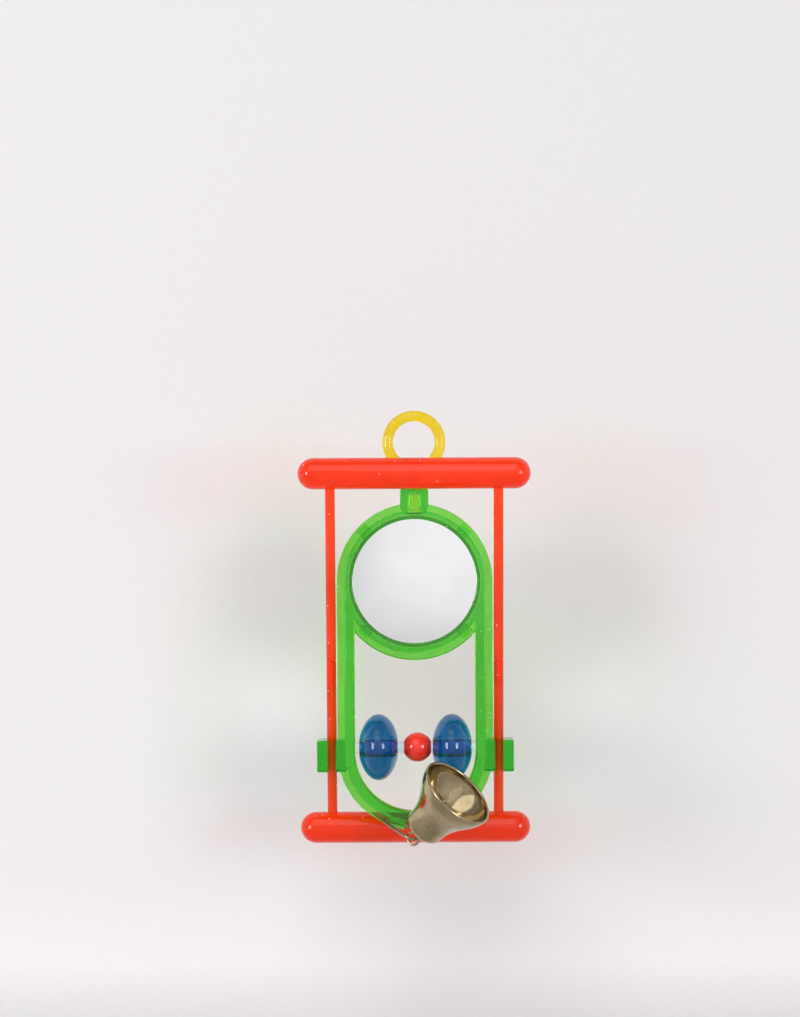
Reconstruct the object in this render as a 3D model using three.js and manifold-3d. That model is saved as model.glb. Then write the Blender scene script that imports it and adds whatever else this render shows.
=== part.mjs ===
import * as THREE from 'three';
import { mergeVertices } from 'three/addons/utils/BufferGeometryUtils.js';
import Module from 'manifold-3d';

// Hanging toy for a cage bird: a round mirror and three beads in a clear green loop,
// carried by a yellow hook, with a clear red perch frame clipped to the loop and a small brass bell.
// Millimetres, Z up, front towards -Y. The origin is the inside top of the hook, where a cage wire lies.

const wasm = await Module();
wasm.setup();

// Shared clearances
const fitGap = 0.3;
const seatGap = 0.15;
const runGap = 0.5;

// Hook: an open eye that turns into a stem with a snap head
const hookWire = 3.1;
const hookBend = 7.4;
const hookTipAngle = -38;
const hookLeaveAngle = 250;
const stemDiameter = 2.8;
const stemLength = 2.1;
const neckDiameter = 2.0;
const headShoulder = 3.1;
const headDiameter = 3.5;
const headLength = 4.8;
const headBevel = 0.5;

// Green loop: a deep inner rim inside a thin outer flange
const mirrorWindow = 35;
const rimWidth = 2.4;
const rimDepth = 5.6;
const flangeWidth = 2.1;
const flangeDepth = 2.4;
const loopDrop = 48.1;
const edgeBevel = 0.4;

// Socket on top of the loop for the hook's head
const socketWidth = 8;
const socketDepth = 7.4;
const socketRise = 4.3;
const socketRoof = 1.6;
const socketShoulder = 1.2;
const socketTaper = 3.4;
const socketCorner = 2.2;
const socketMouth = 3.3;

// Mirror and the snap cover behind it
const lipDepth = 1.0;
const mirrorOverlap = 1.1;
const mirrorThickness = 1.2;
const coverThickness = 1.0;
const coverWall = 1.2;
const clawCount = 4;
const clawWidth = 3.2;
const clawHeight = 1.0;
const clawReach = 2.7;

// Axle and beads
const axleDiameter = 3.4;
const axleRise = 1.1;
const axleSeat = 1.9;
const beadDiameter = 18.7;
const beadLength = 11.4;
const beadBevel = 0.5;
const ballDiameter = 8.3;
const ballLength = 7.9;
const ballShift = 0.6;
const leftPlay = 1.6;
const rightPlay = 0.4;

// Red frame: two half frames, each a round bar with two legs, plugged together half way down
const barDiameter = 8.9;
const barLength = 65.5;
const barRise = 4.1;
const frameHeight = 101.8;
const legDiameter = 2.8;
const legSpacing = 47.4;
const jointDrop = 53.2;
const spigotDiameter = 1.5;
const spigotLength = 7.0;

// Side clips of the loop that hold the legs
const clipHeight = 9;
const clipDrop = 1.4;
const clipWall = 2.6;
const clipThroat = 2.3;
const clipBack = 1.5;

// Lug under the loop and the wire link that swings in it
const lugAngle = 15;
const lugLength = 5;
const lugWall = 0.7;
const linkWire = 0.9;
const linkLength = 12.1;
const linkLead = 7.0;
const linkTail = 5.4;
const linkCorner = 1.0;
const linkTip = 2.4;
const linkDroopAngle = 15.5;

// Bell
const bellMouth = 22.3;
const bellHeight = 17.4;
const bellShoulder = 11.2;
const bellCrownFlat = 4.2;
const bellCrownRound = 2.6;
const bellWall = 0.7;
const bellLip = 0.9;
const bellRiseAngle = 47.5;
const bellForwardAngle = 23.5;
const eyeWire = 0.8;
const eyeBend = 1.8;
const eyeSet = 0.4;
const collarDiameter = 3.4;
const collarThickness = 0.6;
const innerEyeWire = 0.7;
const innerEyeBend = 1.1;
const clapperBall = 4.4;
const clapperLength = 7.4;

// Roundness
const wireSides = 8;
const smallSides = 18;
const sides = 30;
const ringSides = 48;
const arcSides = 20;
const bellSides = 32;

// Levels and places that follow from the sizes
const hookZ = hookWire / 2 - hookBend;
const rimInner = mirrorWindow / 2;
const rimOuter = rimInner + rimWidth;
const loopOuter = rimOuter + flangeWidth;
const bendIn = (hookLeaveAngle - 270) * THREE.MathUtils.DEG2RAD;
const bendOut = -Math.cos(hookLeaveAngle * THREE.MathUtils.DEG2RAD) * hookBend / (1 - Math.sin(-bendIn));
const hookLeaveZ = hookZ + hookBend * Math.sin(hookLeaveAngle * THREE.MathUtils.DEG2RAD);
const stemTopZ = hookLeaveZ - bendOut * Math.cos(bendIn);
const socketTopZ = stemTopZ - stemLength - fitGap;
const socketBaseZ = socketTopZ - socketRise - flangeWidth - rimWidth + mirrorOverlap + seatGap;
const mirrorZ = socketTopZ - socketRise - loopOuter;
const lowerZ = mirrorZ - loopDrop;
const axleZ = lowerZ + axleRise;
const clipZ = lowerZ - clipDrop;
const barRadius = barDiameter / 2;
const legX = legSpacing / 2;
const topBarY = -(hookWire / 2 + fitGap + barRadius);
const topBarZ = socketTopZ + barRise;
const lowBarY = rimDepth / 2 + fitGap + barRadius;
const frameLean = Math.asin((lowBarY - topBarY) / frameHeight);
const beadBore = axleDiameter + 2 * runGap;
const beadHub = beadLength / 2 * Math.sqrt(1 - ((beadBore + 2 * beadBevel) / beadDiameter) ** 2);
const leftBeadX = ballShift - ballLength / 2 - leftPlay - beadHub;
const rightBeadX = ballShift + ballLength / 2 + rightPlay + beadHub;

// Places of the lug, link and bell
const lugTurn = lugAngle * THREE.MathUtils.DEG2RAD;
const lugAlong = new THREE.Vector3(Math.cos(lugTurn), 0, -Math.sin(lugTurn));
const lugOut = new THREE.Vector3(-Math.sin(lugTurn), 0, -Math.cos(lugTurn));
const forward = new THREE.Vector3(0, -1, 0);
const lugBore = linkWire + 2 * fitGap;
const lugSize = lugBore + 2 * lugWall;
const lugRadius = rimOuter + lugBore / 2 + seatGap;
const lugY = -(flangeDepth / 2 + fitGap + linkWire / 2);
const lugPlace = new THREE.Vector3(0, lugY, lowerZ).addScaledVector(lugOut, lugRadius);
const droop = linkDroopAngle * THREE.MathUtils.DEG2RAD;
const linkOut = forward.clone().multiplyScalar(Math.cos(droop)).addScaledVector(lugOut, Math.sin(droop));
const tipHalf = Math.atan2(linkLead + linkTail, linkLength) / 2;
const tipInset = linkTip / Math.sin(tipHalf) - linkTip + eyeSet;
const eyePlace = lugPlace.clone()
  .addScaledVector(lugAlong, linkLead - tipInset * Math.sin(tipHalf))
  .addScaledVector(linkOut, linkLength - tipInset * Math.cos(tipHalf));
const rise = bellRiseAngle * THREE.MathUtils.DEG2RAD;
const ahead = bellForwardAngle * THREE.MathUtils.DEG2RAD;
const bellAxis = new THREE.Vector3(
  Math.cos(ahead) * Math.cos(rise),
  -Math.sin(ahead),
  Math.cos(ahead) * Math.sin(rise)
);
const swingAxis = bellAxis.clone().cross(new THREE.Vector3(0, 0, -1)).normalize();
const crownDrop = eyeBend + eyeWire / 2 + collarThickness;
const innerEyeDrop = crownDrop + bellWall + collarThickness + innerEyeBend + innerEyeWire / 2;

// Closed solid from a geometry, with its faces pointing outwards
function solid(geometry) {
  const plain = geometry.clone();
  plain.deleteAttribute('normal');
  plain.deleteAttribute('uv');
  const merged = mergeVertices(plain, 1e-4);
  const points = merged.attributes.position.array;
  const corners = merged.index.array;
  const kept = [];
  let volume = 0;
  const a = new THREE.Vector3();
  const b = new THREE.Vector3();
  const c = new THREE.Vector3();
  for (let i = 0; i < corners.length; i += 3) {
    const [p, q, r] = [corners[i], corners[i + 1], corners[i + 2]];
    if (p === q || q === r || r === p) continue;
    kept.push(p, q, r);
    a.fromArray(points, 3 * p);
    b.fromArray(points, 3 * q);
    c.fromArray(points, 3 * r);
    volume += a.dot(b.cross(c));
  }
  if (volume < 0) kept.reverse();
  const mesh = new wasm.Mesh({
    numProp: 3,
    vertProperties: new Float32Array(points),
    triVerts: new Uint32Array(kept)
  });
  return new wasm.Manifold(mesh);
}

function geometryOf(body) {
  const mesh = body.getMesh();
  const geometry = new THREE.BufferGeometry();
  geometry.setAttribute('position', new THREE.BufferAttribute(new Float32Array(mesh.vertProperties), 3));
  geometry.setIndex(new THREE.BufferAttribute(new Uint32Array(mesh.triVerts), 1));
  geometry.computeVertexNormals();
  return geometry;
}

// Profile points (radius, along) turned about Y
function turned(profile, segments) {
  const points = profile.map(([radius, along]) => new THREE.Vector2(radius, along));
  return new THREE.LatheGeometry(points, segments);
}

function circlePoints(radius, count) {
  return Array.from({ length: count }, (unused, i) => {
    const angle = 2 * Math.PI * i / count;
    return new THREE.Vector2(radius * Math.cos(angle), radius * Math.sin(angle));
  });
}

// Closed ring of round wire about Y
function wireRing(bend, wire, segments) {
  const section = circlePoints(wire / 2, wireSides).map((p) => [bend + p.x, p.y]);
  return turned([...section, section[0]], segments);
}

function rod(diameter, length, segments) {
  return new THREE.CylinderGeometry(diameter / 2, diameter / 2, length, segments);
}

// Round wire carried along a path
function wireAlong(points, wire, sides, steps) {
  const path = new THREE.CatmullRomCurve3(points, false, 'centripetal');
  return new THREE.ExtrudeGeometry(new THREE.Shape(circlePoints(wire / 2, sides)), {
    steps,
    bevelEnabled: false,
    extrudePath: path
  });
}

function uprightRod(diameter, top, base, segments) {
  return rod(diameter, top - base, segments).rotateX(Math.PI / 2).translate(0, 0, (top + base) / 2);
}

// Outline in the X-Z plane given depth along Y, its middle at depthY
function plate(shape, depth, depthY, bevel, curveSegments) {
  const geometry = new THREE.ExtrudeGeometry(shape, {
    depth: depth - 2 * bevel,
    bevelEnabled: bevel > 0,
    bevelThickness: bevel,
    bevelSize: bevel,
    bevelOffset: -bevel,
    bevelSegments: 1,
    curveSegments
  });
  geometry.translate(0, 0, bevel - depth / 2);
  geometry.rotateX(Math.PI / 2);
  geometry.translate(0, depthY, 0);
  return geometry;
}

function box(width, depth, height, x, y, z) {
  return new THREE.BoxGeometry(width, depth, height).translate(x, y, z);
}

// Tall outline with round ends about the mirror's middle and the lower bend
function stadium(radius) {
  const shape = new THREE.Shape();
  shape.absarc(0, mirrorZ, radius, 0, Math.PI, false);
  shape.absarc(0, lowerZ, radius, Math.PI, 2 * Math.PI, false);
  shape.closePath();
  return shape;
}

// Opening under the mirror: arched top around the mirror ring, round bottom
function lowerWindow(ringRadius) {
  const path = new THREE.Path();
  const reach = Math.asin(rimInner / ringRadius);
  path.absarc(0, mirrorZ, ringRadius, 1.5 * Math.PI - reach, 1.5 * Math.PI + reach, false);
  path.absarc(0, lowerZ, rimInner, 2 * Math.PI, Math.PI, true);
  path.closePath();
  return path;
}

function loopBand(ringRadius, depth, bevel) {
  const shape = stadium(ringRadius);
  const hole = new THREE.Path();
  hole.absarc(0, mirrorZ, rimInner, 0, 2 * Math.PI, true);
  shape.holes.push(hole, lowerWindow(ringRadius));
  return solid(plate(shape, depth, 0, bevel, arcSides));
}

// Turn from the upright frame drawing into the leaning frame's place
function leanFrame(geometry) {
  geometry.rotateX(frameLean);
  geometry.translate(0, topBarY, topBarZ);
  return geometry;
}

// Block around a leg with a round seat and a throat open to the front
function sideClip(side) {
  const inner = rimOuter - edgeBevel;
  const outer = legX + legDiameter / 2 + seatGap + clipWall;
  const down = (topBarZ - clipZ) / Math.cos(frameLean);
  const legY = topBarY + (topBarZ - clipZ) * Math.tan(frameLean);
  const seat = legDiameter / 2 + seatGap;
  const back = legY + seat + clipBack + clipHeight / 2 * Math.tan(frameLean);
  const front = -flangeDepth / 2;
  const middleX = side * (outer + inner) / 2;
  const block = box(outer - inner, back - front, clipHeight, middleX, (back + front) / 2, clipZ);
  const bore = uprightRod(2 * seat, clipHeight - down, -clipHeight - down, smallSides);
  const throatDepth = 2 * socketDepth;
  const slot = box(clipThroat, throatDepth, 2 * clipHeight, side * legX, -throatDepth / 2, -down);
  const seatRoom = solid(leanFrame(bore.translate(side * legX, 0, 0)));
  return solid(block).subtract(seatRoom).subtract(solid(leanFrame(slot)));
}

function socketBlock() {
  const half = socketWidth / 2;
  const shape = new THREE.Shape();
  shape.moveTo(half - socketShoulder, socketTopZ);
  shape.lineTo(-half + socketShoulder, socketTopZ);
  shape.quadraticCurveTo(-half, socketTopZ, -half, socketTopZ - socketShoulder);
  shape.lineTo(-half, socketBaseZ + socketTaper);
  shape.quadraticCurveTo(-half, socketBaseZ, -half + socketCorner, socketBaseZ);
  shape.lineTo(half - socketCorner, socketBaseZ);
  shape.quadraticCurveTo(half, socketBaseZ, half, socketBaseZ + socketTaper);
  shape.lineTo(half, socketTopZ - socketShoulder);
  shape.quadraticCurveTo(half, socketTopZ, half - socketShoulder, socketTopZ);
  return solid(plate(shape, socketDepth, 0, edgeBevel, 4));
}

// Room for the snap head, its neck hole in the roof and the opening behind it
function socketRoom() {
  const room = headDiameter + 2 * fitGap;
  const roomTop = socketTopZ - socketRoof;
  const roomBase = roomTop - headLength - 2 * fitGap;
  const neck = neckDiameter + 2 * fitGap;
  const chamber = uprightRod(room, roomTop, roomBase, smallSides);
  const neckHole = uprightRod(neck, socketTopZ + socketRoof / 2, roomTop - socketRoof / 2, smallSides);
  const height = roomTop - roomBase - fitGap;
  const opening = box(socketMouth, socketDepth, height, 0, socketDepth / 2, (roomTop + roomBase) / 2);
  return solid(chamber).add(solid(neckHole)).add(solid(opening));
}

// Round lug in front of the flange with a lengthwise hole, and the root that carries it
function lowerLug() {
  const barrel = rod(lugSize, lugLength, smallSides).rotateZ(Math.PI / 2);
  const hole = rod(lugBore, 2 * lugLength, wireSides).rotateZ(Math.PI / 2);
  const root = box(lugLength, -lugY, lugSize - lugWall, 0, -lugY / 2, lugWall / 2);
  const place = new THREE.Matrix4().makeRotationY(lugTurn).setPosition(lugPlace);
  const whole = solid(barrel).add(solid(root));
  return { block: placed(whole, place), hole: solid(hole.applyMatrix4(place)) };
}

function placed(body, matrix) {
  return body.transform(matrix.elements);
}

function mirrorPocket() {
  const radius = rimInner + mirrorOverlap + seatGap;
  const start = lipDepth - rimDepth / 2;
  const depth = rimDepth - lipDepth;
  return solid(rod(2 * radius, 2 * depth, ringSides).translate(0, start + depth, mirrorZ));
}

// Pockets, or the claws that snap into them, spread around the mirror
function clawRing(gap) {
  const inner = rimInner;
  const outer = rimInner + mirrorOverlap + clawReach + gap;
  const middleY = coverBackY() - coverWall / 2;
  const reach = outer - inner;
  const one = box(clawWidth + 2 * gap, clawHeight + 2 * gap, reach, 0, middleY, inner + reach / 2);
  const each = Array.from({ length: clawCount }, (unused, i) => {
    const turn = 2 * Math.PI * (i + 0.5) / clawCount;
    return solid(one.clone().rotateY(turn).translate(0, 0, mirrorZ));
  });
  return each.reduce((all, next) => all.add(next));
}

function mirrorFrontY() {
  return lipDepth - rimDepth / 2 + seatGap;
}

function coverBackY() {
  return mirrorFrontY() + mirrorThickness + seatGap + coverThickness + coverWall;
}

function mirrorLoop() {
  const axleHole = solid(rod(axleDiameter + 2 * seatGap, 2 * (rimInner + axleSeat + seatGap), smallSides)
    .rotateZ(Math.PI / 2).translate(0, 0, axleZ));
  const lug = lowerLug();
  return loopBand(rimOuter, rimDepth, edgeBevel)
    .add(loopBand(loopOuter, flangeDepth, 0))
    .subtract(mirrorPocket())
    .subtract(clawRing(seatGap))
    .add(socketBlock())
    .subtract(socketRoom())
    .add(sideClip(-1))
    .add(sideClip(1))
    .subtract(axleHole)
    .add(lug.block)
    .subtract(lug.hole);
}

function mirrorGlass() {
  const depth = mirrorThickness;
  const disc = rod(2 * (rimInner + mirrorOverlap), depth, ringSides);
  return solid(disc.translate(0, mirrorFrontY() + depth / 2, mirrorZ));
}

// Shallow dish behind the mirror, with claws on its wall
function mirrorCover() {
  const radius = rimInner + mirrorOverlap;
  const front = mirrorFrontY() + mirrorThickness + seatGap;
  const floor = front + coverThickness;
  const back = coverBackY();
  const profile = [[0, front], [radius, front], [radius, back], [radius - coverWall, back]];
  profile.push([radius - coverWall, floor], [0, floor]);
  const dish = solid(turned(profile, ringSides).translate(0, 0, mirrorZ));
  const room = rod(2 * (radius - coverWall), 2 * rimDepth, ringSides);
  return dish.add(clawRing(0).subtract(solid(room.translate(0, floor + rimDepth, mirrorZ))));
}

function beadAxle() {
  const length = 2 * (rimInner + axleSeat);
  return solid(rod(axleDiameter, length, smallSides).rotateZ(Math.PI / 2).translate(0, 0, axleZ));
}

// Flattened bead about X with a bevelled bore
function bead(x) {
  const bore = beadBore / 2;
  const mouth = bore + beadBevel;
  const start = Math.asin(2 * mouth / beadDiameter);
  const steps = 12;
  const profile = [[bore, beadBevel - beadHub]];
  for (let i = 0; i <= steps; i += 1) {
    const angle = start + (Math.PI - 2 * start) * i / steps;
    profile.push([beadDiameter / 2 * Math.sin(angle), -beadLength / 2 * Math.cos(angle)]);
  }
  profile.push([bore, beadHub - beadBevel], [bore, beadBevel - beadHub]);
  return solid(turned(profile, sides).rotateZ(-Math.PI / 2).translate(x, 0, axleZ));
}

// Slightly long ball about X with a bore
function ball() {
  const bore = beadBore / 2;
  const start = Math.asin(beadBore / ballDiameter);
  const half = ballLength / 2 / Math.cos(start);
  const steps = 8;
  const profile = [];
  for (let i = 0; i <= steps; i += 1) {
    const angle = start + (Math.PI - 2 * start) * i / steps;
    profile.push([ballDiameter / 2 * Math.sin(angle), -half * Math.cos(angle)]);
  }
  profile[0][0] = bore;
  profile[steps][0] = bore;
  profile.push(profile[0]);
  return solid(turned(profile, smallSides).rotateZ(-Math.PI / 2).translate(ballShift, 0, axleZ));
}

// Open eye, the bend into the stem, the neck and the snap head
function hangerHook() {
  const points = [];
  const start = hookTipAngle * THREE.MathUtils.DEG2RAD;
  const leave = hookLeaveAngle * THREE.MathUtils.DEG2RAD;
  const arcSteps = 24;
  for (let i = 0; i <= arcSteps; i += 1) {
    const angle = start + (leave - start) * i / arcSteps;
    points.push(new THREE.Vector3(hookBend * Math.cos(angle), 0, hookZ + hookBend * Math.sin(angle)));
  }
  const bendSteps = 6;
  for (let i = 1; i <= bendSteps; i += 1) {
    const heading = bendIn - (Math.PI / 2 + bendIn) * i / bendSteps;
    const x = -bendOut * (1 + Math.sin(heading));
    points.push(new THREE.Vector3(x, 0, stemTopZ + bendOut * Math.cos(heading)));
  }
  const eye = solid(wireAlong(points, hookWire, 12, 40));
  const tip = solid(new THREE.SphereGeometry(hookWire / 2, 12, 6)
    .rotateX(Math.PI / 2).translate(points[0].x, 0, points[0].z));
  const shoulderZ = socketTopZ + fitGap;
  const headTop = socketTopZ - socketRoof - fitGap;
  const headBase = headTop - headLength;
  const head = headDiameter / 2;
  const profile = [
    [0, stemTopZ + hookWire / 2],
    [stemDiameter / 2, stemTopZ + hookWire / 4],
    [stemDiameter / 2, shoulderZ],
    [neckDiameter / 2, shoulderZ],
    [neckDiameter / 2, headTop],
    [headShoulder / 2, headTop],
    [head, headBase + headBevel],
    [head - headBevel, headBase],
    [0, headBase]
  ];
  const stem = solid(turned(profile, smallSides).rotateX(Math.PI / 2));
  return eye.add(tip).add(stem);
}

function roundBar(drop) {
  const half = barLength / 2;
  const profile = [];
  const steps = 5;
  for (let i = 0; i <= steps; i += 1) {
    const angle = Math.PI / 2 * i / steps;
    profile.push([barRadius * Math.sin(angle), -half + barRadius * (1 - Math.cos(angle))]);
  }
  const other = profile.map(([radius, along]) => [radius, -along]).reverse();
  return solid(turned([...profile, ...other], sides).rotateZ(-Math.PI / 2).translate(0, 0, -drop));
}

function leg(side, top, base, diameter) {
  return solid(uprightRod(diameter, top, base, smallSides).translate(side * legX, 0, 0));
}

function upperHalfFrame() {
  const tip = -jointDrop - spigotLength;
  const oneLeg = (side) => leg(side, 0, -jointDrop, legDiameter).add(leg(side, -1, tip, spigotDiameter));
  return leanBody(roundBar(0).add(oneLeg(-1)).add(oneLeg(1)));
}

function lowerHalfFrame() {
  const top = -jointDrop - seatGap;
  const floor = top - spigotLength - seatGap;
  const hole = spigotDiameter + 2 * seatGap;
  const oneLeg = (side) => leg(side, top, -frameHeight, legDiameter).subtract(leg(side, 1, floor, hole));
  return leanBody(roundBar(frameHeight).add(oneLeg(-1)).add(oneLeg(1)));
}

function leanBody(body) {
  const matrix = new THREE.Matrix4().makeRotationX(frameLean).setPosition(0, topBarY, topBarZ);
  return placed(body, matrix);
}

// Arcs around the corners of a flat outline that turns to the left
function roundedCorners(corners, radii) {
  const arcSteps = 6;
  return corners.flatMap((corner, i) => {
    const radius = radii[i];
    const back = corners[(i + corners.length - 1) % corners.length].clone().sub(corner).normalize();
    const on = corners[(i + 1) % corners.length].clone().sub(corner).normalize();
    const half = Math.acos(back.dot(on)) / 2;
    const middle = back.clone().add(on).setLength(radius / Math.sin(half)).add(corner);
    const start = corner.clone().addScaledVector(back, radius / Math.tan(half)).sub(middle);
    return Array.from({ length: arcSteps + 1 }, (unused, k) => {
      const turn = (Math.PI - 2 * half) * k / arcSteps;
      return start.clone().rotateAround(new THREE.Vector2(), turn).add(middle);
    });
  });
}

// Closed three-cornered wire link, its straight side in the lug and the eye on its tip
function bellLink() {
  const inLug = lugLength / 4;
  const corners = [
    new THREE.Vector2(linkLead, 0),
    new THREE.Vector2(linkLead, linkLength),
    new THREE.Vector2(-linkTail, 0)
  ];
  const radii = [linkCorner, linkTip, linkCorner];
  const bend = [new THREE.Vector2(inLug, 0), ...roundedCorners(corners, radii), new THREE.Vector2(-inLug, 0)];
  const points = bend.map((p) => new THREE.Vector3(p.x, p.y, 0));
  const bow = solid(wireAlong(points, linkWire, wireSides, 48));
  const side = solid(rod(linkWire, 3 * inLug, wireSides).rotateZ(Math.PI / 2));
  const across = lugAlong.clone().cross(linkOut);
  const place = new THREE.Matrix4().makeBasis(lugAlong, linkOut, across).setPosition(lugPlace);
  return placed(bow.add(side), place);
}

// Bell pieces are drawn along Y from the middle of the eye, the eye's hole along Z
function bellPlace() {
  const across = bellAxis.clone().cross(swingAxis);
  return new THREE.Matrix4().makeBasis(across, bellAxis, swingAxis).setPosition(eyePlace);
}

// Radius of the bell at a share of its height: a slow flare that runs out at the mouth
function bellRadius(share) {
  const flare = (1 - Math.cos(Math.PI * share ** 1.5)) / 2;
  return bellShoulder / 2 + (bellMouth - bellShoulder) / 2 * flare;
}

function bellCurve(inset) {
  const points = [];
  const crownSteps = 4;
  const bodySteps = 8;
  const roundShare = bellCrownRound / bellHeight;
  const roundRadius = bellRadius(roundShare);
  for (let i = 0; i <= crownSteps; i += 1) {
    const angle = Math.PI / 2 * i / crownSteps;
    const radius = bellCrownFlat / 2 + (roundRadius - bellCrownFlat / 2 - inset) * Math.sin(angle);
    const along = crownDrop + inset + (bellCrownRound - inset) * (1 - Math.cos(angle));
    points.push([radius, along]);
  }
  for (let i = 1; i <= bodySteps; i += 1) {
    const share = roundShare + (1 - roundShare) * i / bodySteps;
    points.push([bellRadius(share) - inset, crownDrop + bellHeight * share]);
  }
  return points;
}

function bellShell() {
  const hole = eyeWire / 2 + seatGap;
  const outside = bellCurve(0);
  const inside = bellCurve(bellWall).slice(0, -1).reverse();
  const mouth = crownDrop + bellHeight;
  const lipInner = bellMouth / 2 - bellLip;
  const lip = [[lipInner, mouth], [lipInner, mouth - bellLip]];
  const crown = [[hole, crownDrop + bellWall], [hole, crownDrop]];
  return placed(solid(turned([crown[1], ...outside, ...lip, ...inside, ...crown], bellSides)), bellPlace());
}

// Wire eye with a collar on each side of the crown and a small eye inside
function bellEye() {
  const collar = collarThickness;
  const inner = crownDrop + bellWall;
  const eye = solid(wireRing(eyeBend, eyeWire, smallSides).rotateX(Math.PI / 2));
  const washer = rod(collarDiameter, collar - seatGap, wireSides * 2);
  const upper = solid(washer.clone().translate(0, crownDrop - (collar + seatGap) / 2, 0));
  const lower = solid(washer.clone().translate(0, inner + (collar + seatGap) / 2, 0));
  const stem = rod(eyeWire, bellWall + 3 * collar, wireSides).translate(0, crownDrop + bellWall / 2, 0);
  const small = solid(wireRing(innerEyeBend, innerEyeWire, wireSides * 2).rotateX(Math.PI / 2));
  const crownPieces = upper.add(solid(stem)).add(lower);
  return placed(eye.add(crownPieces).add(small.translate(0, innerEyeDrop, 0)), bellPlace());
}

function bellClapper() {
  const ringDrop = innerEyeDrop + innerEyeBend;
  const rodTop = ringDrop + innerEyeBend;
  const ballDrop = innerEyeDrop + clapperLength;
  const ring = wireRing(innerEyeBend, innerEyeWire, wireSides * 2).rotateZ(Math.PI / 2);
  const wire = rod(innerEyeWire, ballDrop - rodTop, wireSides).translate(0, (ballDrop + rodTop) / 2, 0);
  const weight = new THREE.SphereGeometry(clapperBall / 2, wireSides * 2, wireSides);
  const hung = solid(ring.translate(0, ringDrop, 0)).add(solid(wire));
  return placed(hung.add(solid(weight.translate(0, ballDrop, 0))), bellPlace());
}

const yellow = { color: 0xe8cf2e, roughness: 0.25 };
const green = { color: 0x3cc248, roughness: 0.2 };
const silver = { color: 0xd8d8d8, roughness: 0.05, metalness: 1 };
const clear = { color: 0xd6dce0, roughness: 0.15 };
const blue = { color: 0x1f6e98, roughness: 0.15 };
const scarlet = { color: 0xd93228, roughness: 0.15 };
const red = { color: 0xf0482a, roughness: 0.2 };
const brass = { color: 0xc8a76a, roughness: 0.25, metalness: 1 };

const group = new THREE.Group();
group.name = 'bird_mirror_with_bell';

function addPiece(name, body, look) {
  const mesh = new THREE.Mesh(geometryOf(body), new THREE.MeshStandardMaterial({ name, ...look }));
  mesh.name = name;
  group.add(mesh);
}

addPiece('hanger_hook', hangerHook(), yellow);
addPiece('mirror_loop', mirrorLoop(), green);
addPiece('mirror_glass', mirrorGlass(), silver);
addPiece('mirror_cover', mirrorCover(), green);
addPiece('bead_axle', beadAxle(), clear);
addPiece('left_bead', bead(leftBeadX), blue);
addPiece('centre_ball', ball(), scarlet);
addPiece('right_bead', bead(rightBeadX), blue);
addPiece('upper_half_frame', upperHalfFrame(), red);
addPiece('lower_half_frame', lowerHalfFrame(), red);
addPiece('bell_link', bellLink(), brass);
addPiece('bell_eye', bellEye(), brass);
addPiece('bell_shell', bellShell(), brass);
addPiece('bell_clapper', bellClapper(), brass);

export default group;
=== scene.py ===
import math

import bmesh
import bpy
import numpy as np
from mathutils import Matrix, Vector
from mathutils.geometry import tessellate_polygon


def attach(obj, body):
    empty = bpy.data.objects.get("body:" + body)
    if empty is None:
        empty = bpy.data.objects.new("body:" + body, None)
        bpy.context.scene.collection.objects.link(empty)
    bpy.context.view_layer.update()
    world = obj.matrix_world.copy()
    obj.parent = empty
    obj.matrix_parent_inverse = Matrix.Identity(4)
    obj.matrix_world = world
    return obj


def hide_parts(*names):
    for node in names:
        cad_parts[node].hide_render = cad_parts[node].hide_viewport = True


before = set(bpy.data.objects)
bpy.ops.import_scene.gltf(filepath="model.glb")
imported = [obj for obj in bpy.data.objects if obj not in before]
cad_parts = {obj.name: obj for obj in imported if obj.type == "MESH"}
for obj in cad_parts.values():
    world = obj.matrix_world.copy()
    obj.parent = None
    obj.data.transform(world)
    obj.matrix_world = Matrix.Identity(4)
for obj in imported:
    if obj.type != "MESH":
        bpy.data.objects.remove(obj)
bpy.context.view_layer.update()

rad = math.radians

# Sizes in millimetres and degrees, the number of claws and the power of the bell's flare, as in the part
FIT, SEAT, RUN = 0.3, 0.15, 0.5
HOOK_WIRE, HOOK_BEND, HOOK_TIP, HOOK_LEAVE = 3.1, 7.4, -38.0, 250.0
STEM, STEM_LENGTH, NECK = 2.8, 2.1, 2.0
HEAD_SHOULDER, HEAD, HEAD_LENGTH, HEAD_BEVEL = 3.1, 3.5, 4.8, 0.5
WINDOW, RIM_WIDTH, RIM_DEPTH = 35.0, 2.4, 5.6
FLANGE_WIDTH, FLANGE_DEPTH, LOOP_DROP = 2.1, 2.4, 48.1
SOCKET_WIDTH, SOCKET_DEPTH, SOCKET_RISE, SOCKET_ROOF = 8.0, 7.4, 4.3, 1.6
SOCKET_SHOULDER, SOCKET_TAPER, SOCKET_CORNER, SOCKET_MOUTH = 1.2, 3.4, 2.2, 3.3
LIP, OVERLAP, MIRROR_THICK = 1.0, 1.1, 1.2
COVER_THICK, COVER_WALL = 1.0, 1.2
CLAWS, CLAW_WIDTH, CLAW_HEIGHT, CLAW_REACH = 4, 3.2, 1.0, 2.7
AXLE, AXLE_RISE = 3.4, 1.1
BEAD, BEAD_LENGTH, BEAD_BEVEL = 18.7, 11.4, 0.5
BALL, BALL_LENGTH, BALL_SHIFT, LEFT_PLAY, RIGHT_PLAY = 8.3, 7.9, 0.6, 1.6, 0.4
BAR, BAR_LENGTH, BAR_RISE, FRAME_HEIGHT = 8.9, 65.5, 4.1, 101.8
LEG, LEG_SPACING, JOINT_DROP, SPIGOT, SPIGOT_LENGTH = 2.8, 47.4, 53.2, 1.5, 7.0
CLIP_HEIGHT, CLIP_DROP, CLIP_WALL, CLIP_THROAT, CLIP_BACK, CLIP_ROOT = 9.0, 1.4, 2.6, 2.3, 1.5, 0.4
LUG_ANGLE, LUG_LENGTH, LUG_WALL = 15.0, 5.0, 0.7
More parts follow.
